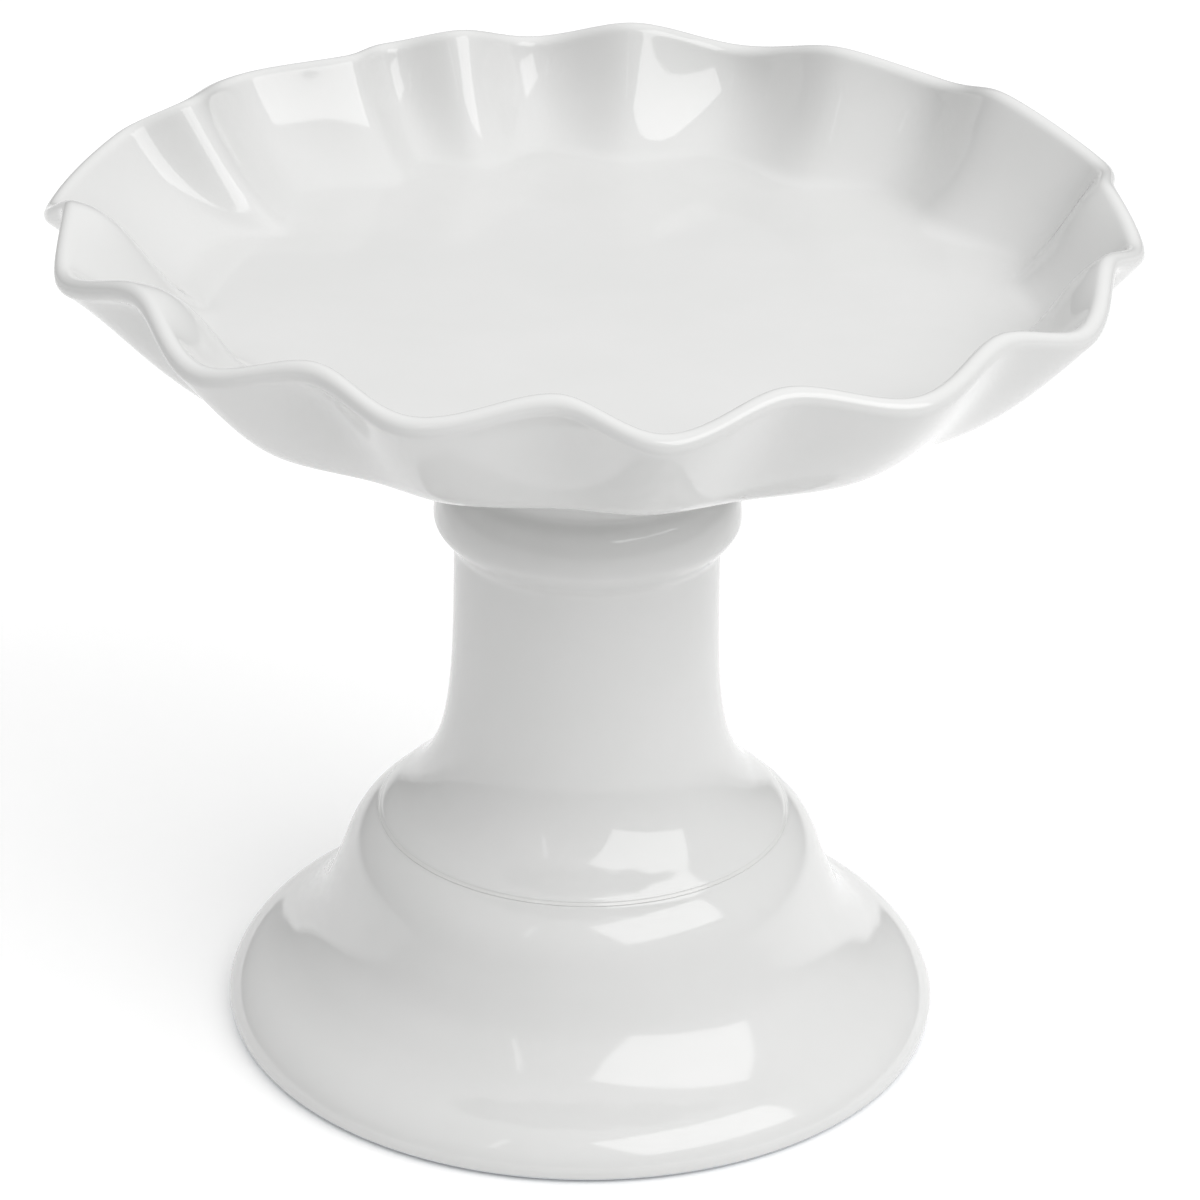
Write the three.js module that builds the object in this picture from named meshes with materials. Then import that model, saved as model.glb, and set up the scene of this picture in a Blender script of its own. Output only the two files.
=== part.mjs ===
import * as THREE from 'three';
import { mergeVertices } from 'three/addons/utils/BufferGeometryUtils.js';

// Footed cake stand in glazed ceramic. Millimetres, +Z up, origin at the
// centre of the foot's underside. Angles run from the front (-Y) towards +X.

// ---- driving dimensions ------------------------------------------------
const FLOOR_Z = 202.0;      // top of the flat dish floor
const FLOOR_R = 103.5;      // mean radius of the flat floor
const FLOOR_SHIFT_X = 4.5;  // the floor sits a little off the axis, to the right
const FLOOR_SHIFT_Y = 3.0;  // and a little to the back
const FLOOR_SCALLOP = 0.85; // how much of the rim's wave reaches the floor edge
const UNDER_Z = 191.0;      // flat underside of the dish
const UNDER_R = 100.5;      // mean radius where the underside starts to turn up
const UNDER_SCALLOP = 0.35; // how much of the rim's wave reaches that radius
const LIP_R = 2.95;         // half the thickness of the rounded lip
const WALL_START = 12.0;    // degrees the inner wall leaves the floor below its chord
const WALL_END = 20.0;      // degrees it meets the lip above its chord
const UNDER_END = 18.0;     // the same for the outer wall
const UNDER_FLARE = 0.75;   // share of a crest's roll that shows outside
const RIM_MEAN_R = 130.2;   // mean radius of the lip's centre line
const WALL = 5.8;           // wall of the hollow pedestal
const JOINT_GAP = 0.3;      // clearance either side of a slip joint
const LUTE_T = 0.8;         // thickness of a slip joint
const GROOVE_Z = 58.2;      // height of the fine groove on the shoulder
const REST_IN_R = 85.5;     // inner edge of the flat rest ring under the foot
const NECK_R = 46.0;        // outer radius of the neck's flared top
const NECK_BORE_R = 36.0;   // bore at the neck's top

const DISH_SEGMENTS = 144;
const TURNED_SEGMENTS = 56;

// Centre line of the hand-pinched lip: angle in degrees, radius, height, and
// the degrees by which the wall stands steeper (+) or rolls outwards (-) there.
const RIM = [
  [7.5, 133.8, 222.1, 0], [20.8, 126.5, 228.0, -14], [34.6, 133.6, 222.6, 0], [48.9, 127.3, 227.3, 10],
  [60.7, 134.4, 222.1, -10], [75.7, 129.5, 226.5, -32], [85.4, 135.2, 222.1, -12], [97.3, 131.2, 227.3, -26],
  [106.2, 136.3, 225.2, -6], [121.9, 126.1, 233.3, -10], [135.2, 132.7, 227.0, 8], [147.2, 123.4, 232.2, -6],
  [162.6, 133.2, 224.5, 14], [175.0, 123.9, 231.7, -6], [187.5, 133.7, 224.1, 12], [197.6, 124.9, 230.2, -8],
  [205.4, 133.0, 225.8, 10], [212.5, 124.3, 227.4, 0], [225.4, 133.6, 225.4, 0], [241.1, 121.8, 230.2, -8],
  [246.7, 132.9, 224.4, 0], [264.4, 136.8, 219.2, -14], [276.1, 129.2, 229.2, -50], [286.3, 133.1, 220.9, -18],
  [302.5, 126.0, 229.2, -52], [317.2, 132.8, 222.1, 0], [329.9, 126.2, 228.4, -26], [342.3, 133.2, 222.9, 0],
  [356.5, 125.7, 228.5, -18],
];

// Turned outline of the foot, from the rest ring's edge up to the groove.
const FOOT_OUTLINE = [
  [92.6, 0.0], [94.4, 1.0], [95.0, 3.0], [95.0, 4.6], [94.5, 6.2], [93.2, 8.2], [91.0, 10.6],
  [88.2, 12.7], [85.0, 14.5], [81.8, 16.6], [77.0, 20.7], [70.6, 28.7], [65.9, 39.8],
  [63.3, 47.0], [61.7, 50.4], [59.8, 53.2], [57.3, 55.7], [55.1, 57.4],
];

// Turned outline of the stem, from the groove up to the foot of the collar.
const STEM_OUTLINE = [
  [53.6, 59.2], [51.9, 60.7], [49.8, 62.4], [47.4, 64.2], [43.1, 69.4], [39.2, 77.0],
  [36.8, 86.6], [35.3, 100.9], [34.8, 119.9], [34.7, 138.0],
];

// Collar bead and the neck above it.
const BEAD_R = 40.0;        // widest radius of the bead
const BEAD_Z = 144.1;       // height of the bead's equator
const BEAD_BULGE = 6.4;     // how far the bead swells
const BEAD_LOW = 6.2;       // bead height below the equator
const BEAD_HIGH = 12.8;     // bead height above the equator
const NECK_OUTLINE = [
  [34.8, 158.8], [35.3, 164.0], [37.4, 172.5], [41.0, 181.0],
];

// ---- helpers -----------------------------------------------------------
const rad = (d) => (d * Math.PI) / 180;

// Periodic monotone cubic through [x, y] knots with period 2*pi.
function periodic(xs, ys) {
  const n = xs.length;
  const T = 2 * Math.PI;
  const h = xs.map((x, i) => (i < n - 1 ? xs[i + 1] - x : xs[0] + T - x));
  const d = ys.map((y, i) => (ys[(i + 1) % n] - y) / h[i]);
  const m = ys.map((_, i) => {
    const k = (i - 1 + n) % n;
    if (d[k] * d[i] <= 0) return 0;
    const w1 = 2 * h[i] + h[k];
    const w2 = h[i] + 2 * h[k];
    return (w1 + w2) / (w1 / d[k] + w2 / d[i]);
  });
  return (x) => {
    let q = x;
    while (q < xs[0]) q += T;
    while (q >= xs[0] + T) q -= T;
    let i = n - 1;
    while (i > 0 && xs[i] > q) i--;
    const t = (q - xs[i]) / h[i];
    const j = (i + 1) % n;
    const a = (1 + 2 * t) * (1 - t) * (1 - t);
    const b = t * (1 - t) * (1 - t);
    const c = t * t * (3 - 2 * t);
    const e = t * t * (t - 1);
    return a * ys[i] + b * h[i] * m[i] + c * ys[j] + e * h[i] * m[j];
  };
}

const bez = (p0, p1, p2, p3, t) => {
  const u = 1 - t;
  const w = [u * u * u, 3 * u * u * t, 3 * u * t * t, t * t * t];
  return [
    w[0] * p0[0] + w[1] * p1[0] + w[2] * p2[0] + w[3] * p3[0],
    w[0] * p0[1] + w[1] * p1[1] + w[2] * p2[1] + w[3] * p3[1],
  ];
};

// Weld a shape, drop triangles that have collapsed and face it outwards.
function solid(source) {
  const g = source.clone();
  g.deleteAttribute('normal');
  g.deleteAttribute('uv');
  const w = mergeVertices(g, 1e-4);
  const p = w.getAttribute('position');
  const ix = w.getIndex().array;
  const keep = [];
  let volume = 0;
  for (let i = 0; i < ix.length; i += 3) {
    const [a, b, c] = [ix[i], ix[i + 1], ix[i + 2]];
    if (a === b || b === c || c === a) continue;
    keep.push(a, b, c);
    volume +=
      p.getX(a) * (p.getY(b) * p.getZ(c) - p.getZ(b) * p.getY(c)) +
      p.getY(a) * (p.getZ(b) * p.getX(c) - p.getX(b) * p.getZ(c)) +
      p.getZ(a) * (p.getX(b) * p.getY(c) - p.getY(b) * p.getX(c));
  }
  if (volume < 0) {
    for (let i = 0; i < keep.length; i += 3) {
      [keep[i + 1], keep[i + 2]] = [keep[i + 2], keep[i + 1]];
    }
  }
  w.setIndex(keep);
  w.computeVertexNormals();
  return w;
}

// Turned solid from a closed outline of [radius, height] points.
function turned(outline, segments = TURNED_SEGMENTS) {
  const pts = outline.map(([r, z]) => new THREE.Vector2(r, z));
  const g = new THREE.LatheGeometry(pts, segments);
  g.rotateX(Math.PI / 2);
  return solid(g);
}

// Smooth run of points through a list of control points.
function smooth(points, count) {
  const curve = new THREE.SplineCurve(points.map(([r, z]) => new THREE.Vector2(r, z)));
  return curve.getSpacedPoints(count).map((v) => [v.x, v.y]);
}

// The same run moved inwards by the wall's thickness.
function inset(run, wall) {
  return run.map((p, i) => {
    const a = run[Math.max(0, i - 1)];
    const b = run[Math.min(run.length - 1, i + 1)];
    const dx = b[0] - a[0];
    const dz = b[1] - a[1];
    const l = Math.hypot(dx, dz);
    return [p[0] - (dz / l) * wall, p[1] + (dx / l) * wall];
  });
}

// ---- dish --------------------------------------------------------------
const rimR = periodic(RIM.map((k) => rad(k[0])), RIM.map((k) => k[1]));
const rimZ = periodic(RIM.map((k) => rad(k[0])), RIM.map((k) => k[2]));
const rimRoll = periodic(RIM.map((k) => rad(k[0])), RIM.map((k) => k[3]));

const WALL_STEPS = 8;
const LIP_STEPS = 5;

// Meridian of the dish at one angle, from the floor's centre over the lip and
// back along the underside.
function dishMeridian(phi) {
  const R = rimR(phi);
  const Z = rimZ(phi);
  const wave = R - RIM_MEAN_R;
  const rf = FLOOR_R + FLOOR_SHIFT_X * Math.sin(phi) - FLOOR_SHIFT_Y * Math.cos(phi) + FLOOR_SCALLOP * wave;
  const ru = UNDER_R + UNDER_SCALLOP * wave;
  const chord = Math.atan2(Z - FLOOR_Z, R - rf);
  const reach = 0.36 * Math.hypot(R - rf, Z - FLOOR_Z);
  const roll = rad(rimRoll(phi));
  const a1 = chord + rad(WALL_END) + roll;
  const a2 = chord + rad(UNDER_END) + UNDER_FLARE * roll;
  const a3 = chord - rad(WALL_START);
  const v1 = [reach * Math.cos(a1), reach * Math.sin(a1)];
  const v2 = [reach * Math.cos(a2), reach * Math.sin(a2)];
  const v3 = [reach * Math.cos(a3), reach * Math.sin(a3)];
  const ci = [R - LIP_R * Math.sin(a1), Z + LIP_R * Math.cos(a1)];
  const co = [R + LIP_R * Math.sin(a2), Z - LIP_R * Math.cos(a2)];
  const a0 = [rf - 1, FLOOR_Z];
  const out = [[0, FLOOR_Z], [40, FLOOR_Z], [76, FLOOR_Z]];
  for (let i = 0; i < WALL_STEPS; i++) {
    out.push(bez(a0, [a0[0] + v3[0], a0[1] + v3[1]], [ci[0] - v1[0], ci[1] - v1[1]], ci, i / WALL_STEPS));
  }
  for (let i = 0; i <= LIP_STEPS; i++) {
    const s = a1 + Math.PI / 2 + (a2 - a1 - Math.PI) * (i / LIP_STEPS);
    out.push([R + LIP_R * Math.cos(s), Z + LIP_R * Math.sin(s)]);
  }
  const b0 = [ru, UNDER_Z];
  const d2 = Math.hypot(co[0] - b0[0], co[1] - b0[1]);
  for (let i = WALL_STEPS - 1; i >= 0; i--) {
    out.push(bez(b0, [ru + 0.2 * d2, UNDER_Z], [co[0] - v2[0], co[1] - v2[1]], co, i / WALL_STEPS));
  }
  out.push([70, UNDER_Z], [40, UNDER_Z], [0, UNDER_Z]);
  return out;
}

function ruffledDish() {
  const pts = dishMeridian(0).map(([r, z]) => new THREE.Vector2(r, z));
  const g = new THREE.LatheGeometry(pts, DISH_SEGMENTS);
  g.rotateX(Math.PI / 2);
  const pos = g.getAttribute('position');
  const m = pts.length;
  for (let i = 0; i <= DISH_SEGMENTS; i++) {
    const phi = ((i % DISH_SEGMENTS) / DISH_SEGMENTS) * 2 * Math.PI;
    const line = dishMeridian(phi);
    for (let j = 0; j < m; j++) {
      const [r, z] = line[j];
      pos.setXYZ(i * m + j, r * Math.sin(phi), -r * Math.cos(phi), z);
    }
  }
  return solid(g);
}

// ---- slip joint under the dish -----------------------------------------
const NECK_TOP_Z = UNDER_Z - JOINT_GAP - LUTE_T - JOINT_GAP;
const dishLute = [
  [NECK_BORE_R + 1.5, UNDER_Z - JOINT_GAP - LUTE_T],
  [NECK_R - 1.0, UNDER_Z - JOINT_GAP - LUTE_T],
  [NECK_R - 1.0, UNDER_Z - JOINT_GAP],
  [NECK_BORE_R + 1.5, UNDER_Z - JOINT_GAP],
  [NECK_BORE_R + 1.5, UNDER_Z - JOINT_GAP - LUTE_T],
];

// ---- stem: shoulder, column, collar bead and neck ----------------------
const stemLow = smooth(STEM_OUTLINE, 13);
const columnR = stemLow[stemLow.length - 1][0];
const beadStart = Math.acos(1 - (BEAD_R - columnR) / BEAD_BULGE);
const bead = [];
for (let i = 1; i <= 9; i++) {
  const a = -beadStart + ((beadStart + 1.35) * i) / 9;
  const h = a < 0 ? BEAD_LOW : BEAD_HIGH;
  bead.push([BEAD_R - BEAD_BULGE * (1 - Math.cos(a)), BEAD_Z + h * Math.sin(a)]);
}
const neck = smooth([...NECK_OUTLINE, [NECK_R, NECK_TOP_Z - 1.2]], 5);
const stemSeat = GROOVE_Z + LUTE_T / 2 + JOINT_GAP;
const stemInner = [
  ...inset(stemLow, WALL).filter((p, i) => i % 2 === 1 && p[1] > stemSeat + 5 && p[0] < 45),
];
const stemBoreLow = [47.6, stemSeat];
const boreR = stemInner[stemInner.length - 1][0];
const stem = [
  stemBoreLow,
  [53.0, stemSeat],
  ...stemLow,
  ...bead,
  ...neck,
  [NECK_R, NECK_TOP_Z],
  [NECK_BORE_R, NECK_TOP_Z],
  [NECK_BORE_R - 2.4, NECK_TOP_Z - 8],
  [boreR + 1.2, NECK_TOP_Z - 16],
  [boreR, NECK_TOP_Z - 26],
  ...stemInner.reverse(),
  stemBoreLow,
];

// ---- slip joint in the groove ------------------------------------------
const stemLute = [
  [48.0, GROOVE_Z - LUTE_T / 2],
  [53.6, GROOVE_Z - LUTE_T / 2],
  [53.6, GROOVE_Z + LUTE_T / 2],
  [48.0, GROOVE_Z + LUTE_T / 2],
  [48.0, GROOVE_Z - LUTE_T / 2],
];

// ---- bell foot ---------------------------------------------------------
const footSeat = GROOVE_Z - LUTE_T / 2 - JOINT_GAP;
const footRun = smooth(FOOT_OUTLINE, 22);
const footInner = inset(footRun, WALL).filter((p, i) => i % 2 === 0 && p[1] > 4 && p[0] < REST_IN_R - 0.5 && p[1] < footSeat - 4);
const foot = [
  [REST_IN_R, 0],
  ...footRun,
  [54.4, footSeat],
  [47.8, footSeat],
  ...footInner.reverse(),
  [REST_IN_R, 0],
];

// ---- assembly ----------------------------------------------------------
const glaze = (color) => new THREE.MeshStandardMaterial({ color, roughness: 0.12, metalness: 0 });
const clay = (color) => new THREE.MeshStandardMaterial({ color, roughness: 0.75, metalness: 0 });

const stand = new THREE.Group();
stand.name = 'ruffled_cake_stand';

function add(name, geometry, material) {
  const mesh = new THREE.Mesh(geometry, material);
  mesh.name = name;
  stand.add(mesh);
}

add('ruffled_dish', ruffledDish(), glaze(0xf3f3f1));
add('dish_lute_ring', turned(dishLute), clay(0xe9e6df));
add('pedestal_stem', turned(stem), glaze(0xf3f3f1));
add('stem_lute_ring', turned(stemLute), clay(0xe9e6df));
add('bell_foot', turned(foot), glaze(0xf3f3f1));

export default stand;
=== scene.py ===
import math

import bmesh
import bpy
import numpy as np
from mathutils import Matrix, Vector, noise


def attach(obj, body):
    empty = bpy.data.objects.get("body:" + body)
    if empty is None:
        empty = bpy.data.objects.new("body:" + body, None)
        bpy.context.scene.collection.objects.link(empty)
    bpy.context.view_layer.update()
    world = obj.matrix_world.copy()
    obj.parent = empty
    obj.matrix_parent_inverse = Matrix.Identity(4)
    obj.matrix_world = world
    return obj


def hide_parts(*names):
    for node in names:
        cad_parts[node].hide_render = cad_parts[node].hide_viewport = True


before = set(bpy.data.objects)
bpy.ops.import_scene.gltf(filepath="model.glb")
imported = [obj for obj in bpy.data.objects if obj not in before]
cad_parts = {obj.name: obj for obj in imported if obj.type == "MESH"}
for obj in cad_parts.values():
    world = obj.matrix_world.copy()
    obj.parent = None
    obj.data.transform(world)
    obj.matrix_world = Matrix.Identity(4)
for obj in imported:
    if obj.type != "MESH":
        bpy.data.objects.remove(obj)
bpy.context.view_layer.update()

MM = 0.001

# ------------------------------------------------------------------ sizes
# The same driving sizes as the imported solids, in millimetres.
FLOOR_Z = 202.0
FLOOR_R = 103.5
FLOOR_SHIFT_X = 4.5
FLOOR_SHIFT_Y = 3.0
FLOOR_SCALLOP = 0.85
UNDER_Z = 191.0
UNDER_R = 100.5
UNDER_SCALLOP = 0.35
LIP_R = 2.95
WALL_START = 12.0
WALL_END = 20.0
UNDER_END = 18.0
UNDER_FLARE = 0.75
RIM_MEAN_R = 130.2
WALL = 5.8
JOINT_GAP = 0.3
LUTE_T = 0.8
GROOVE_Z = 58.2
REST_IN_R = 85.5
NECK_R = 46.0
NECK_BORE_R = 36.0

RIM = [
    (7.5, 133.8, 222.1, 0), (20.8, 126.5, 228.0, -14), (34.6, 133.6, 222.6, 0), (48.9, 127.3, 227.3, 10),
    (60.7, 134.4, 222.1, -10), (75.7, 129.5, 226.5, -32), (85.4, 135.2, 222.1, -12), (97.3, 131.2, 227.3, -26),
    (106.2, 136.3, 225.2, -6), (121.9, 126.1, 233.3, -10), (135.2, 132.7, 227.0, 8), (147.2, 123.4, 232.2, -6),
    (162.6, 133.2, 224.5, 14), (175.0, 123.9, 231.7, -6), (187.5, 133.7, 224.1, 12), (197.6, 124.9, 230.2, -8),
    (205.4, 133.0, 225.8, 10), (212.5, 124.3, 227.4, 0), (225.4, 133.6, 225.4, 0), (241.1, 121.8, 230.2, -8),
    (246.7, 132.9, 224.4, 0), (264.4, 136.8, 219.2, -14), (276.1, 129.2, 229.2, -50), (286.3, 133.1, 220.9, -18),
    (302.5, 126.0, 229.2, -52), (317.2, 132.8, 222.1, 0), (329.9, 126.2, 228.4, -26), (342.3, 133.2, 222.9, 0),
    (356.5, 125.7, 228.5, -18),
]

FOOT_OUTLINE = [
    (92.6, 0.0), (94.4, 1.0), (95.0, 3.0), (95.0, 4.6), (94.5, 6.2), (93.2, 8.2), (91.0, 10.6),
    (88.2, 12.7), (85.0, 14.5), (81.8, 16.6), (77.0, 20.7), (70.6, 28.7), (65.9, 39.8),
    (63.3, 47.0), (61.7, 50.4), (59.8, 53.2), (57.3, 55.7), (55.1, 57.4),
]

STEM_OUTLINE = [
    (53.6, 59.2), (51.9, 60.7), (49.8, 62.4), (47.4, 64.2), (43.1, 69.4), (39.2, 77.0),
    (36.8, 86.6), (35.3, 100.9), (34.8, 119.9), (34.7, 138.0),
]

BEAD_R = 40.0
BEAD_Z = 144.1
BEAD_BULGE = 6.4
BEAD_LOW = 6.2
BEAD_HIGH = 12.8
NECK_OUTLINE = [(34.8, 158.8), (35.3, 164.0), (37.4, 172.5), (41.0, 181.0)]


# ---------------------------------------------------------------- helpers
def periodic(xs, ys):
    """Periodic monotone cubic through the knots."""
    n = len(xs)
    period = 2 * math.pi
    h = [xs[i + 1] - xs[i] if i < n - 1 else xs[0] + period - xs[i] for i in range(n)]
    d = [(ys[(i + 1) % n] - ys[i]) / h[i] for i in range(n)]
    m = []
    for i in range(n):
        k = (i - 1) % n
        if d[k] * d[i] <= 0:
            m.append(0.0)
        else:
            w1 = 2 * h[i] + h[k]
            w2 = h[i] + 2 * h[k]
            m.append((w1 + w2) / (w1 / d[k] + w2 / d[i]))

    def f(x):
        q = x
        while q < xs[0]:
            q += period
        while q >= xs[0] + period:
            q -= period
        i = n - 1
        while i > 0 and xs[i] > q:
            i -= 1
        t = (q - xs[i]) / h[i]
        j = (i + 1) % n
        a = (1 + 2 * t) * (1 - t) ** 2
        b = t * (1 - t) ** 2
        c = t * t * (3 - 2 * t)
        e = t * t * (t - 1)
        return a * ys[i] + b * h[i] * m[i] + c * ys[j] + e * h[i] * m[j]

    return f


def bez(p0, p1, p2, p3, t):
    u = 1 - t
    w = (u * u * u, 3 * u * u * t, 3 * u * t * t, t * t * t)
    return (
        w[0] * p0[0] + w[1] * p1[0] + w[2] * p2[0] + w[3] * p3[0],
        w[0] * p0[1] + w[1] * p1[1] + w[2] * p2[1] + w[3] * p3[1],
    )


def catmull(points, count):
    """Even steps along a Catmull-Rom curve through the points."""
    p = np.array(points, float)
    p = np.vstack([2 * p[0] - p[1], p, 2 * p[-1] - p[-2]])
    dense = []
    for i in range(1, len(p) - 2):
        for t in np.linspace(0, 1, 24, endpoint=False):
            t2, t3 = t * t, t * t * t
            dense.append(
                0.5
                * (
                    2 * p[i]
                    + (p[i + 1] - p[i - 1]) * t
                    + (2 * p[i - 1] - 5 * p[i] + 4 * p[i + 1] - p[i + 2]) * t2
                    + (3 * p[i] - p[i - 1] - 3 * p[i + 1] + p[i + 2]) * t3
                )
            )
    dense.append(p[-2])
    dense = np.array(dense)
    s = np.r_[0, np.cumsum(np.hypot(*np.diff(dense, axis=0).T))]
    q = np.linspace(0, s[-1], count + 1)
    return [(float(np.interp(v, s, dense[:, 0])), float(np.interp(v, s, dense[:, 1]))) for v in q]


def relax(run, passes=6):
    """Even out the curvature of a run without moving its ends."""
    a = np.array(run, float)
    for _ in range(passes):
        b = a.copy()
        b[1:-1] = 0.5 * a[1:-1] + 0.25 * (a[:-2] + a[2:])
        a = b
    return [tuple(v) for v in a]


def inset(run, wall):
    out = []
    for i, p in enumerate(run):
        a = run[max(0, i - 1)]
        b = run[min(len(run) - 1, i + 1)]
        dx, dz = b[0] - a[0], b[1] - a[1]
        l = math.hypot(dx, dz)
        out.append((p[0] - dz / l * wall, p[1] + dx / l * wall))
    return out


def add_mesh(name, verts, faces):
    me = bpy.data.meshes.new(name)
    me.from_pydata(verts, [], faces)
    me.validate()
    bm = bmesh.new()
    bm.from_mesh(me)
    bmesh.ops.remove_doubles(bm, verts=bm.verts, dist=1e-7)
    bmesh.ops.dissolve_degenerate(bm, edges=bm.edges, dist=1e-8)
    bmesh.ops.recalc_face_normals(bm, faces=bm.faces)
    bm.to_mesh(me)
    bm.free()
    for f in me.polygons:
        f.use_smooth = True
    ob = bpy.data.objects.new(name, me)
    bpy.context.scene.collection.objects.link(ob)
    return ob


def ring_mesh(name, rows, closed):
    """rows[i][j] is a point of meridian i; meridians close on each other. A
    closed meridian joins its last point to its first."""
    n = len(rows)
    m = len(rows[0])
    verts = [p for row in rows for p in row]
    faces = []
    last = m if closed else m - 1
    for i in range(n):
        k = (i + 1) % n
        for j in range(last):
            l = (j + 1) % m
            faces.append((i * m + j, k * m + j, k * m + l, i * m + l))
    return add_mesh(name, verts, faces)


def turned(name, outline, segments, wobble=0.0, seed=0):
    """A thrown form: the outline swept round, with the faint waver of a hand-finished wall."""
    rows = []
    for i in range(segments):
        phi = 2 * math.pi * i / segments
        row = []
        for r, z in outline:
            w = 0.0
            if wobble:
                q = Vector((math.sin(phi) * 1.7, math.cos(phi) * 1.7, z * 0.03 + seed))
                w = wobble * (noise.noise(q) - 0.6)
            rr = (r + w) * MM
            row.append((rr * math.sin(phi), -rr * math.cos(phi), z * MM))
        rows.append(row)
    return ring_mesh(name, rows, True)


# ------------------------------------------------------------------- dish
rim_r = periodic([math.radians(k[0]) for k in RIM], [k[1] for k in RIM])
rim_z = periodic([math.radians(k[0]) for k in RIM], [k[2] for k in RIM])
rim_flare = periodic([math.radians(k[0]) for k in RIM], [k[3] for k in RIM])


def smooth_rim(n):
    """The lip's centre line, sampled and faintly softened as clay and glaze soften it."""
    r = np.array([rim_r(2 * math.pi * i / n) for i in range(n)])
    z = np.array([rim_z(2 * math.pi * i / n) for i in range(n)])
    for _ in range(10):
        r = 0.5 * r + 0.25 * (np.roll(r, 1) + np.roll(r, -1))
        z = 0.5 * z + 0.25 * (np.roll(z, 1) + np.roll(z, -1))
    return r, z


def dish(segments=1260, wall_steps=44, lip_steps=16):
    R, Z = smooth_rim(segments)
    rows = []
    shrink = 0.2
    for i in range(segments):
        phi = 2 * math.pi * i / segments
        r, z = float(R[i]), float(Z[i])
        wave = r - RIM_MEAN_R
        rf = FLOOR_R + FLOOR_SHIFT_X * math.sin(phi) - FLOOR_SHIFT_Y * math.cos(phi) + FLOOR_SCALLOP * wave
        ru = UNDER_R + UNDER_SCALLOP * wave
        chord = math.atan2(z - FLOOR_Z, r - rf)
        flare = math.radians(rim_flare(phi))
        a1 = chord + math.radians(WALL_END) + flare
        a2 = chord + math.radians(UNDER_END) + UNDER_FLARE * flare
        a3 = chord - math.radians(WALL_START)
        reach = 0.36 * math.hypot(r - rf, z - FLOOR_Z)
        v1 = (reach * math.cos(a1), reach * math.sin(a1))
        v2 = (reach * math.cos(a2), reach * math.sin(a2))
        v3 = (reach * math.cos(a3), reach * math.sin(a3))
        lip = LIP_R - shrink
        ci = (r - lip * math.sin(a1), z + lip * math.cos(a1))
        co = (r + lip * math.sin(a2), z - lip * math.cos(a2))
        a0 = (rf - 1.0, FLOOR_Z)
        flat = [(1e-6, FLOOR_Z), (20, FLOOR_Z), (40, FLOOR_Z), (58, FLOOR_Z), (72, FLOOR_Z), (80, FLOOR_Z)]
        flat += [(80 + (a0[0] - 80) * k / 14, FLOOR_Z) for k in range(1, 14)]
        wall = [bez(a0, (a0[0] + v3[0], a0[1] + v3[1]), (ci[0] - v1[0], ci[1] - v1[1]), ci, k / wall_steps) for k in range(wall_steps)]
        run = np.array(flat + wall + [ci])
        cut = len(flat)
        for _ in range(16):
            soft = run.copy()
            soft[cut - 6:cut + 9] = 0.5 * run[cut - 6:cut + 9] + 0.25 * (run[cut - 7:cut + 8] + run[cut - 5:cut + 10])
            run = soft
        line = [(float(v[0]), float(v[1])) for v in run[:-1]]
        for k in range(lip_steps + 1):
            s = a1 + math.pi / 2 + (a2 - a1 - math.pi) * k / lip_steps
            line.append((r + lip * math.cos(s), z + lip * math.sin(s)))
        b0 = (ru, UNDER_Z)
        d2 = math.hypot(co[0] - b0[0], co[1] - b0[1])
        for k in range(wall_steps - 1, -1, -1):
            line.append(bez(b0, (ru + 0.2 * d2, UNDER_Z), (co[0] - v2[0], co[1] - v2[1]), co, k / wall_steps))
        line += [(q, UNDER_Z) for q in (92, 84, 70, 50, 30, 1e-6)]
        row = []
        for q, h in line:
            row.append((q * MM * math.sin(phi), -q * MM * math.cos(phi), h * MM))
        rows.append(row)
    return ring_mesh("ruffled_dish_glazed", rows, False)


dish_ob = dish()

# -------------------------------------------------------------- the stem
NECK_TOP_Z = UNDER_Z - 2 * JOINT_GAP - LUTE_T
stem_low = relax(catmull(STEM_OUTLINE, 90), 10)
column_r = stem_low[-1][0]
bead_start = math.acos(1 - (BEAD_R - column_r) / BEAD_BULGE)
bead = []
for i in range(1, 41):
    a = -bead_start + (bead_start + 1.35) * i / 40
    h = BEAD_LOW if a < 0 else BEAD_HIGH
    bead.append((BEAD_R - BEAD_BULGE * (1 - math.cos(a)), BEAD_Z + h * math.sin(a)))
neck = catmull([bead[-1]] + NECK_OUTLINE + [(NECK_R, NECK_TOP_Z - 1.2)], 36)[1:]
SEAT_GAP = 0.02
stem_seat = GROOVE_Z + LUTE_T / 2 + SEAT_GAP
stem_in = [p for p in inset(stem_low, WALL) if p[1] > stem_seat + 5 and p[0] < 45]
bore_r = stem_in[-1][0]
# the groove is a soft dip, its glaze drawn over the joint
GROOVE_R = 54.4
GROOVE_DIP = 0.16


def dip(run):
    return [(p[0] - GROOVE_DIP * math.exp(-(((p[0] - GROOVE_R) ** 2 + (p[1] - GROOVE_Z) ** 2) / 4.0)), p[1]) for p in run]


e0 = stem_low[0]
e1 = (54.08, stem_seat)
edge = dip([(e1[0] + (e0[0] - e1[0]) * k / 5, e1[1] + (e0[1] - e1[1]) * k / 5) for k in range(5)] + stem_low[:6])
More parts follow.
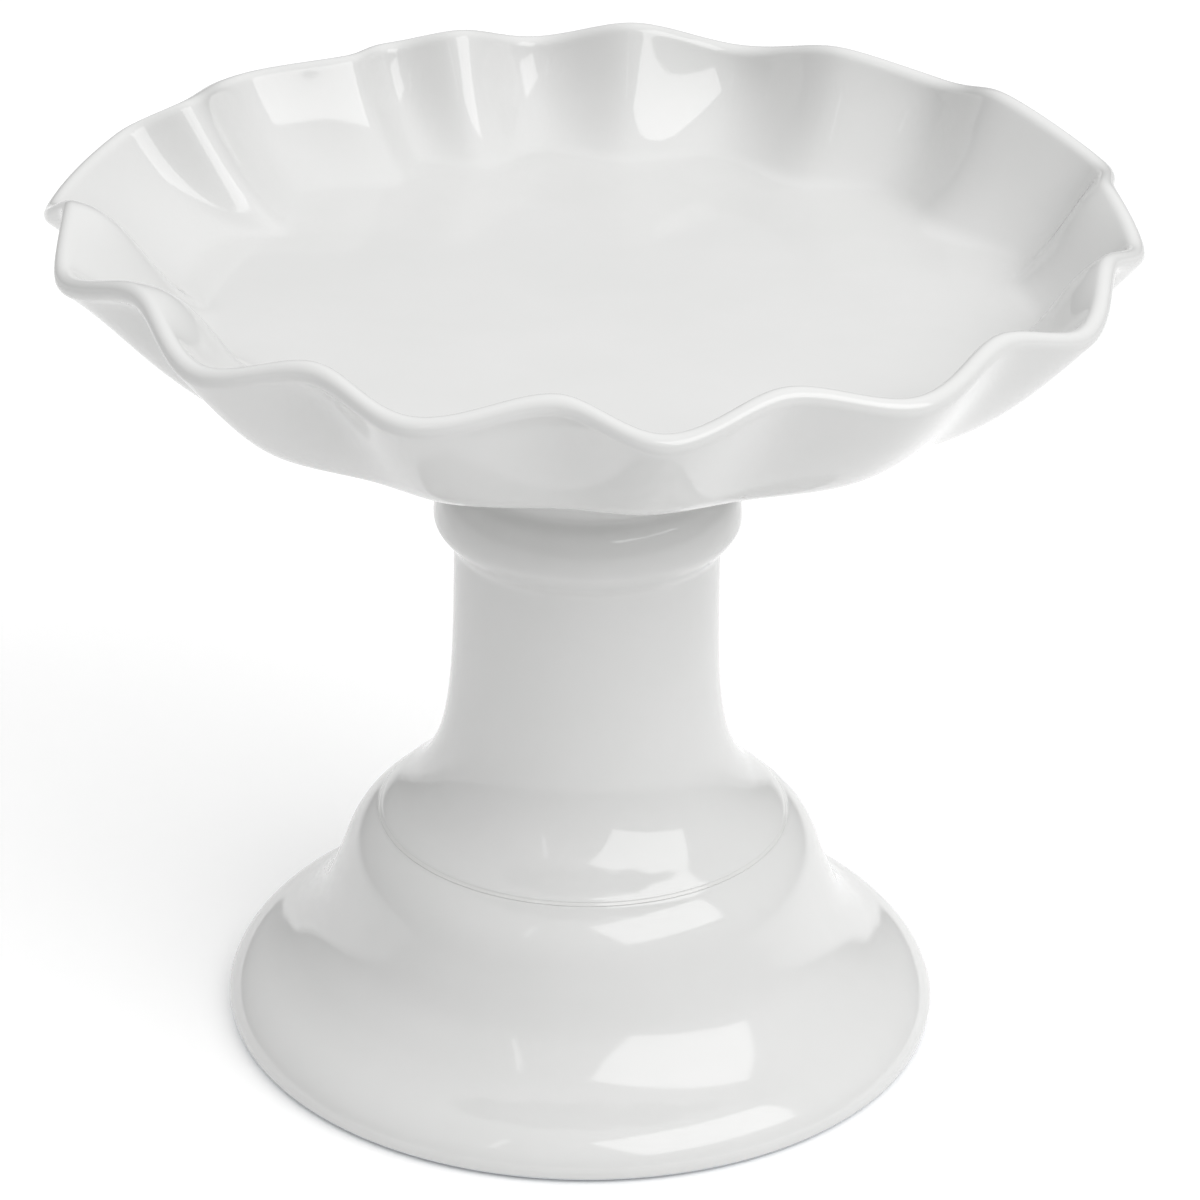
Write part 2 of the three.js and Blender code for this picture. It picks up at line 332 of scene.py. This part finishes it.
# the bead's underside sweeps softly back into the column
SWEEP_Z = 134.8
sweep = [
    (column_r + (BEAD_R - column_r) * (0.5 - 0.5 * math.cos(math.pi * k / 24)), SWEEP_Z + (BEAD_Z - SWEEP_Z) * k / 24)
    for k in range(1, 25)
]
body = relax([p for p in stem_low[6:] if p[1] < SWEEP_Z - 0.3] + sweep + [p for p in bead if p[1] > BEAD_Z + 0.2] + neck, 6)
stem_line = (
    [(47.6, stem_seat), (50.0, stem_seat), (53.0, stem_seat), (edge[0][0] - 0.03, stem_seat)]
    + [(edge[0][0], stem_seat + 0.015)]
    + edge[1:]
    + body
    + [(NECK_R, NECK_TOP_Z - 0.4), (NECK_R - 0.4, NECK_TOP_Z), (NECK_BORE_R + 0.4, NECK_TOP_Z), (NECK_BORE_R, NECK_TOP_Z - 0.4)]
    + catmull([(NECK_BORE_R, NECK_TOP_Z - 0.4), (NECK_BORE_R - 2.4, NECK_TOP_Z - 8), (bore_r + 1.2, NECK_TOP_Z - 16), (bore_r, NECK_TOP_Z - 26)], 12)[1:]
    + stem_in[::-1][::3]
    + [(47.0, stem_seat + 0.4)]
)
stem_ob = turned("pedestal_stem_glazed", stem_line, 288, wobble=0.05, seed=3.1)

# -------------------------------------------------------------- the foot
foot_seat = GROOVE_Z - LUTE_T / 2 - SEAT_GAP
foot_run = catmull(FOOT_OUTLINE[:4], 14) + relax(catmull(FOOT_OUTLINE[3:], 110), 12)[1:]
foot_in = [p for p in inset(foot_run, WALL) if p[1] > 4 and p[0] < REST_IN_R - 0.5 and p[1] < foot_seat - 4]
f1 = foot_run[-1]
f2 = (54.75, foot_seat)
foot_top = dip(foot_run + [(f1[0] + (f2[0] - f1[0]) * k / 3, f1[1] + (f2[1] - f1[1]) * k / 3) for k in (1, 2, 3)])
foot_top[-1] = (foot_top[-1][0], foot_seat - 0.015)
foot_line = (
    [(REST_IN_R, 0.3), (REST_IN_R + 0.3, 0.0), (89.0, 0.0)]
    + foot_top
    + [(foot_top[-1][0] - 0.03, foot_seat), (50.0, foot_seat), (47.8, foot_seat)]
    + foot_in[::-1][::3]
)
foot_ob = turned("bell_foot_glazed", foot_line, 360, wobble=0.06, seed=7.7)

# -------------------------------------------------- slip joints (in clay)
def joint_line(r0, r1, z0, z1, c=0.15):
    return [(r0 + c, z0), (r1 - c, z0), (r1, z0 + c), (r1, z1 - c), (r1 - c, z1), (r0 + c, z1), (r0, z1 - c), (r0, z0 + c)]


dish_joint = turned("dish_lute_slip", joint_line(NECK_BORE_R + 1.5, NECK_R - 1.0, UNDER_Z - JOINT_GAP - LUTE_T, UNDER_Z - JOINT_GAP), 240)
j0, j1 = GROOVE_Z - LUTE_T / 2, GROOVE_Z + LUTE_T / 2
skin = dip([(54.75 - 0.67 * k / 4, j0 + LUTE_T * k / 4) for k in range(5)])
stem_joint = turned("stem_lute_slip", [(48.0, j0), (51.0, j0)] + [(p[0] - 0.01, p[1]) for p in skin] + [(51.0, j1), (48.0, j1)], 240)


# -------------------------------------------------------------- materials
def node(nt, kind, x, y, **props):
    n = nt.nodes.new(kind)
    n.location = (x, y)
    for k, v in props.items():
        setattr(n, k, v)
    return n


def glaze_material(name, tint=(0.655, 0.655, 0.65), deep=(0.64, 0.642, 0.635), foot=False):
    mat = bpy.data.materials.new(name)
    mat.use_nodes = True
    nt = mat.node_tree
    nt.nodes.clear()
    out = node(nt, "ShaderNodeOutputMaterial", 900, 0)
    bsdf = node(nt, "ShaderNodeBsdfPrincipled", 600, 0)
    nt.links.new(bsdf.outputs["BSDF"], out.inputs["Surface"])
    bsdf.inputs["IOR"].default_value = 1.55
    bsdf.inputs["Metallic"].default_value = 0.0
    bsdf.inputs["Specular IOR Level"].default_value = 0.5
    geo = node(nt, "ShaderNodeTexCoord", -1400, 0)
    # broad clouding of the glaze
    cloud = node(nt, "ShaderNodeTexNoise", -1100, 200)
    cloud.inputs["Scale"].default_value = 26.0
    cloud.inputs["Detail"].default_value = 5.0
    cloud.inputs["Roughness"].default_value = 0.55
    nt.links.new(geo.outputs["Object"], cloud.inputs["Vector"])
    ramp = node(nt, "ShaderNodeValToRGB", -850, 200)
    ramp.color_ramp.elements[0].position = 0.35
    ramp.color_ramp.elements[0].color = (*deep, 1)
    ramp.color_ramp.elements[1].position = 0.65
    ramp.color_ramp.elements[1].color = (*tint, 1)
    nt.links.new(cloud.outputs["Fac"], ramp.inputs["Fac"])
    # tiny pinholes and iron specks
    speck = node(nt, "ShaderNodeTexVoronoi", -1100, -150)
    speck.feature = "F1"
    speck.inputs["Scale"].default_value = 55.0
    speck.inputs["Randomness"].default_value = 1.0
    nt.links.new(geo.outputs["Object"], speck.inputs["Vector"])
    pick = node(nt, "ShaderNodeSeparateColor", -900, -300)
    nt.links.new(speck.outputs["Color"], pick.inputs["Color"])
    rare = node(nt, "ShaderNodeMath", -700, -300, operation="GREATER_THAN")
    rare.inputs[1].default_value = 0.975
    nt.links.new(pick.outputs["Red"], rare.inputs[0])
    near = node(nt, "ShaderNodeMapRange", -900, -120)
    near.inputs["From Min"].default_value = 0.015
    near.inputs["From Max"].default_value = 0.045
    near.inputs["To Min"].default_value = 1.0
    near.inputs["To Max"].default_value = 0.0
    nt.links.new(speck.outputs["Distance"], near.inputs["Value"])
    dot = node(nt, "ShaderNodeMath", -500, -200, operation="MULTIPLY")
    nt.links.new(near.outputs["Result"], dot.inputs[0])
    nt.links.new(rare.outputs["Value"], dot.inputs[1])
    mix = node(nt, "ShaderNodeMix", -300, 150, data_type="RGBA")
    nt.links.new(dot.outputs["Value"], mix.inputs["Factor"])
    nt.links.new(ramp.outputs["Color"], mix.inputs["A"])
    mix.inputs["B"].default_value = (0.36, 0.35, 0.32, 1)
    colour = mix.outputs["Result"]
    if foot:
        # the bottom millimetre of the foot is coloured darker and cooler, its upper edge wavering with noise
        sep = node(nt, "ShaderNodeSeparateXYZ", -1100, 500)
        nt.links.new(geo.outputs["Object"], sep.inputs["Vector"])
        waver = node(nt, "ShaderNodeTexNoise", -1100, 700)
        waver.inputs["Scale"].default_value = 60.0
        nt.links.new(geo.outputs["Object"], waver.inputs["Vector"])
        lift = node(nt, "ShaderNodeMath", -900, 620, operation="MULTIPLY_ADD")
        nt.links.new(waver.outputs["Fac"], lift.inputs[0])
        lift.inputs[1].default_value = -0.0008
        nt.links.new(sep.outputs["Z"], lift.inputs[2])
        bottom_band = node(nt, "ShaderNodeMapRange", -700, 560)
        bottom_band.inputs["From Min"].default_value = 0.0004
        bottom_band.inputs["From Max"].default_value = 0.0012
        bottom_band.inputs["To Min"].default_value = 1.0
        bottom_band.inputs["To Max"].default_value = 0.0
        nt.links.new(lift.outputs["Value"], bottom_band.inputs["Value"])
        mix2 = node(nt, "ShaderNodeMix", -80, 250, data_type="RGBA")
        nt.links.new(bottom_band.outputs["Result"], mix2.inputs["Factor"])
        nt.links.new(colour, mix2.inputs["A"])
        mix2.inputs["B"].default_value = (0.50, 0.53, 0.56, 1)
        colour = mix2.outputs["Result"]
    nt.links.new(colour, bsdf.inputs["Base Color"])
    # gloss: mostly wet, with slow changes and finer breaks
    gloss = node(nt, "ShaderNodeTexNoise", -600, -500)
    gloss.inputs["Scale"].default_value = 14.0
    gloss.inputs["Detail"].default_value = 6.0
    gloss.inputs["Roughness"].default_value = 0.6
    nt.links.new(geo.outputs["Object"], gloss.inputs["Vector"])
    rough = node(nt, "ShaderNodeMapRange", -350, -500)
    rough.inputs["From Min"].default_value = 0.3
    rough.inputs["From Max"].default_value = 0.7
    rough.inputs["To Min"].default_value = 0.05
    rough.inputs["To Max"].default_value = 0.12
    nt.links.new(gloss.outputs["Fac"], rough.inputs["Value"])
    nt.links.new(rough.outputs["Result"], bsdf.inputs["Roughness"])
    # surface: slow waver of the glaze, and the pinholes
    wave = node(nt, "ShaderNodeTexNoise", -600, -800)
    wave.inputs["Scale"].default_value = 34.0
    wave.inputs["Detail"].default_value = 2.0
    nt.links.new(geo.outputs["Object"], wave.inputs["Vector"])
    bump = node(nt, "ShaderNodeBump", 100, -600)
    bump.inputs["Strength"].default_value = 0.25
    bump.inputs["Distance"].default_value = 0.0004
    nt.links.new(wave.outputs["Fac"], bump.inputs["Height"])
    bump2 = node(nt, "ShaderNodeBump", 300, -600)
    bump2.inputs["Strength"].default_value = 0.6
    bump2.inputs["Distance"].default_value = -0.0003
    nt.links.new(dot.outputs["Value"], bump2.inputs["Height"])
    nt.links.new(bump.outputs["Normal"], bump2.inputs["Normal"])
    nt.links.new(bump2.outputs["Normal"], bsdf.inputs["Normal"])
    return mat


def slip_material(name):
    mat = bpy.data.materials.new(name)
    mat.use_nodes = True
    nt = mat.node_tree
    bsdf = nt.nodes["Principled BSDF"]
    geo = node(nt, "ShaderNodeTexCoord", -1000, 0)
    grain = node(nt, "ShaderNodeTexNoise", -800, 0)
    grain.inputs["Scale"].default_value = 420.0
    grain.inputs["Detail"].default_value = 6.0
    nt.links.new(geo.outputs["Object"], grain.inputs["Vector"])
    ramp = node(nt, "ShaderNodeValToRGB", -550, 0)
    ramp.color_ramp.elements[0].color = (0.62, 0.61, 0.58, 1)
    ramp.color_ramp.elements[1].color = (0.74, 0.735, 0.71, 1)
    nt.links.new(grain.outputs["Fac"], ramp.inputs["Fac"])
    nt.links.new(ramp.outputs["Color"], bsdf.inputs["Base Color"])
    rough = node(nt, "ShaderNodeMapRange", -550, -250)
    rough.inputs["To Min"].default_value = 0.35
    rough.inputs["To Max"].default_value = 0.7
    nt.links.new(grain.outputs["Fac"], rough.inputs["Value"])
    nt.links.new(rough.outputs["Result"], bsdf.inputs["Roughness"])
    bump = node(nt, "ShaderNodeBump", -300, -400)
    bump.inputs["Strength"].default_value = 0.4
    bump.inputs["Distance"].default_value = 0.0002
    nt.links.new(grain.outputs["Fac"], bump.inputs["Height"])
    nt.links.new(bump.outputs["Normal"], bsdf.inputs["Normal"])
    return mat


glaze = glaze_material("white_gloss_glaze")
glaze_foot = glaze_material("white_gloss_glaze_foot", foot=True)
slip = slip_material("fired_slip")
slip_skin = glaze_material("glazed_slip", tint=(0.65, 0.65, 0.642), deep=(0.63, 0.632, 0.622))

for ob, cad, mat, slot in (
    (dish_ob, "ruffled_dish", glaze, "white_glaze"),
    (stem_ob, "pedestal_stem", glaze, "white_glaze"),
    (foot_ob, "bell_foot", glaze_foot, "white_glaze"),
    (dish_joint, "dish_lute_ring", slip, "slip_joint"),
    (stem_joint, "stem_lute_ring", slip_skin, "slip_joint"),
):
    ob.data.materials.append(mat)
    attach(ob, "root")
    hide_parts(cad)

# ------------------------------------------------------------------ stage
def floor_plane():
    n = 24
    half = 6.0
    verts, faces = [], []
    for i in range(n + 1):
        for j in range(n + 1):
            verts.append((-half + 2 * half * i / n, -half + 2 * half * j / n, -0.0002))
    for i in range(n):
        for j in range(n):
            a = i * (n + 1) + j
            faces.append((a, a + n + 1, a + n + 2, a + 1))
    me = bpy.data.meshes.new("studio_floor")
    me.from_pydata(verts, [], faces)
    ob = bpy.data.objects.new("studio_floor", me)
    bpy.context.scene.collection.objects.link(ob)
    mat = bpy.data.materials.new("studio_floor_painted_light_pool")
    mat.use_nodes = True
    nt = mat.node_tree
    b = nt.nodes["Principled BSDF"]
    # painted pool of light: the floor colour is pale under the stand and falls off softly to grey away from it, a
    # painted light falloff
    where = node(nt, "ShaderNodeTexCoord", -1200, 0)
    place = node(nt, "ShaderNodeMapping", -1000, 0, vector_type="POINT")
    place.inputs["Location"].default_value = (0.0, -0.75, 0.0)
    place.inputs["Scale"].default_value = (2.6, 1.75, 0.0)
    nt.links.new(where.outputs["Object"], place.inputs["Vector"])
    far = node(nt, "ShaderNodeVectorMath", -800, 0, operation="LENGTH")
    nt.links.new(place.outputs["Vector"], far.inputs[0])
    painted_pool_falloff = node(nt, "ShaderNodeMapRange", -600, 0, interpolation_type="SMOOTHSTEP")
    painted_pool_falloff.inputs["From Min"].default_value = 0.85
    painted_pool_falloff.inputs["From Max"].default_value = 1.9
    nt.links.new(far.outputs["Value"], painted_pool_falloff.inputs["Value"])
    # painted light: pale where the painted pool lies, darker grey outside it
    painted_pool_mix = node(nt, "ShaderNodeMix", -350, 0, data_type="RGBA")
    nt.links.new(painted_pool_falloff.outputs["Result"], painted_pool_mix.inputs["Factor"])
    painted_pool_mix.inputs["A"].default_value = (0.97, 0.97, 0.97, 1)
    painted_pool_mix.inputs["B"].default_value = (0.66, 0.66, 0.66, 1)
    nt.links.new(painted_pool_mix.outputs["Result"], b.inputs["Base Color"])
    b.inputs["Roughness"].default_value = 1.0
    b.inputs["Emission Color"].default_value = (1, 1, 1, 1)
    b.inputs["Emission Strength"].default_value = 0.05
    b.inputs["Specular IOR Level"].default_value = 0.0
    ob.data.materials.append(mat)
    return ob


floor_plane()


def area(name, azimuth, elevation, distance, width, height, radiance, target=(0, 0, 0.12), roll=0.0):
    """A soft box seen from the target at an azimuth right of the front and an elevation."""
    az, el = math.radians(azimuth), math.radians(elevation)
    d = Vector((math.sin(az) * math.cos(el), -math.cos(az) * math.cos(el), math.sin(el)))
    data = bpy.data.lights.new(name, "AREA")
    data.shape = "RECTANGLE"
    data.size = width
    data.size_y = height
    data.energy = radiance * math.pi * width * height
    ob = bpy.data.objects.new(name, data)
    ob.location = Vector(target) + d * distance
    ob.rotation_euler = (d.to_track_quat("Z", "Y").to_matrix() @ Matrix.Rotation(math.radians(roll), 3, "Z")).to_euler()
    bpy.context.scene.collection.objects.link(ob)
    return ob


area("window_key", 47, 44, 1.6, 1.45, 1.02, 2.45)
area("strip_left", -28, 40, 1.8, 0.06, 0.6, 1.6)

world = bpy.data.worlds.new("studio_air")
bpy.context.scene.world = world
world.use_nodes = True
wt = world.node_tree
bg = wt.nodes["Background"]
sky = node(wt, "ShaderNodeTexCoord", -900, 0)
sky_sep = node(wt, "ShaderNodeSeparateXYZ", -700, 0)
wt.links.new(sky.outputs["Generated"], sky_sep.inputs["Vector"])
sky_ramp = node(wt, "ShaderNodeValToRGB", -450, 0)
stops = sky_ramp.color_ramp
stops.elements[0].position = 0.0
stops.elements[0].color = (0.20, 0.20, 0.20, 1)
stops.elements[1].position = 1.0
stops.elements[1].color = (1.2, 1.2, 1.2, 1)
for at, v in ((0.25, 0.46), (0.6, 0.82), (0.85, 0.98)):
    e = stops.elements.new(at)
    e.color = (v, v, v, 1)
wt.links.new(sky_sep.outputs["Z"], sky_ramp.inputs["Fac"])
side = node(wt, "ShaderNodeMath", -450, -250, operation="MULTIPLY_ADD")
side.inputs[1].default_value = 0.06
side.inputs[2].default_value = 1.0
wt.links.new(sky_sep.outputs["X"], side.inputs[0])
lift = node(wt, "ShaderNodeVectorMath", -200, 0, operation="SCALE")
wt.links.new(sky_ramp.outputs["Color"], lift.inputs[0])
wt.links.new(side.outputs["Value"], lift.inputs["Scale"])
wt.links.new(lift.outputs["Vector"], bg.inputs["Color"])
bg.inputs["Strength"].default_value = 1.13

# ----------------------------------------------------------------- camera
K = 0.095
CAM_F = 4508.28
CAM = Vector((0.0, -11.12091 * K, 6.6851 * K))
AIM = Vector((0.0370 * K, 0.0, 1.248 * K))
ROLL = math.radians(1.00)
fw = (AIM - CAM).normalized()
rt = fw.cross(Vector((0, 0, 1))).normalized()
up = rt.cross(fw)
rt2 = math.cos(ROLL) * rt + math.sin(ROLL) * up
up2 = -math.sin(ROLL) * rt + math.cos(ROLL) * up
cam_data = bpy.data.cameras.new("camera")
cam_data.sensor_width = 36.0
cam_data.sensor_fit = "HORIZONTAL"
cam_data.lens = CAM_F / 1200.0 * 36.0
cam_data.clip_start = 0.01
cam_data.clip_end = 50
cam = bpy.data.objects.new("camera", cam_data)
m = Matrix((
    (rt2.x, up2.x, -fw.x, CAM.x),
    (rt2.y, up2.y, -fw.y, CAM.y),
    (rt2.z, up2.z, -fw.z, CAM.z),
    (0, 0, 0, 1),
))
cam.matrix_world = m
bpy.context.scene.collection.objects.link(cam)
bpy.context.scene.camera = cam
bpy.context.scene.view_settings.view_transform = "Standard"
bpy.context.scene.view_settings.look = "None"
